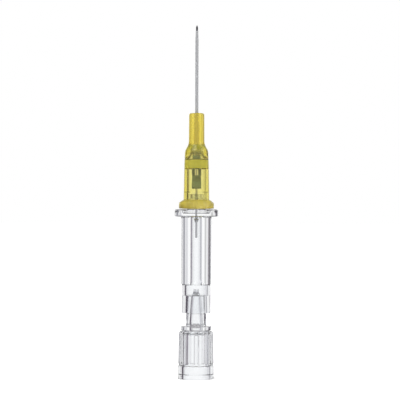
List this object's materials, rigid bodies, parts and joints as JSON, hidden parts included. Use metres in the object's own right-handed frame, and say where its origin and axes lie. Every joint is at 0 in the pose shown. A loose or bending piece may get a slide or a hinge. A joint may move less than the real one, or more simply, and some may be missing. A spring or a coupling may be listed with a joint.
{
  "type": "iv cannula",
  "caption": "Straight safety cannula: thin tube on a yellow lugged hub, ground needle in a clear hub with a push-off plate and flash chamber, and a clear vented plug.",
  "frame": {"origin": "centre of the vent plug's flat open end, which the part stands on", "axes": "+Z along the needle towards its tip, +X along the push-off plate's long direction, -Y the side that the bevel faces"},
  "size_m": [0.0098, 0.0082, 0.0804],
  "materials": {
    "clear_plug": "clear moulding, polished",
    "porous_filter": "porous, matte",
    "clear_hub": "clear moulding, polished",
    "cured_glue": "cured clear glue",
    "needle_steel": "drawn and ground",
    "clip_steel": "rolled strip, satin",
    "yellow_hub": "tinted clear moulding, polished",
    "wedge_steel": "drawn, satin",
    "catheter_film": "extruded, satin"
  },
  "bodies": {
    "plug_unit": {"vent_plug": "clear_plug", "vent_filter": "porous_filter"},
    "needle_unit": {"needle_hub": "clear_hub", "needle_adhesive": "cured_glue", "needle": "needle_steel"},
    "clip_unit": {"safety_clip": "clip_steel"},
    "catheter_unit": {"catheter_hub": "yellow_hub", "tube_wedge": "wedge_steel", "catheter_tube": "catheter_film"}
  },
  "joints": [
    {"name": "plug_pull", "type": "slide", "parent": "plug_unit", "child": "needle_unit", "axis": [0, 0, 1], "range_m": [0, 0.008]},
    {"name": "clip_travel", "type": "slide", "parent": "needle_unit", "child": "clip_unit", "axis": [0, 0, 1], "range_m": [0, 0.0296]},
    {"name": "hub_release", "type": "slide", "parent": "clip_unit", "child": "catheter_unit", "axis": [0, 0, 1], "range_m": [0, 0.013]}
  ]
}
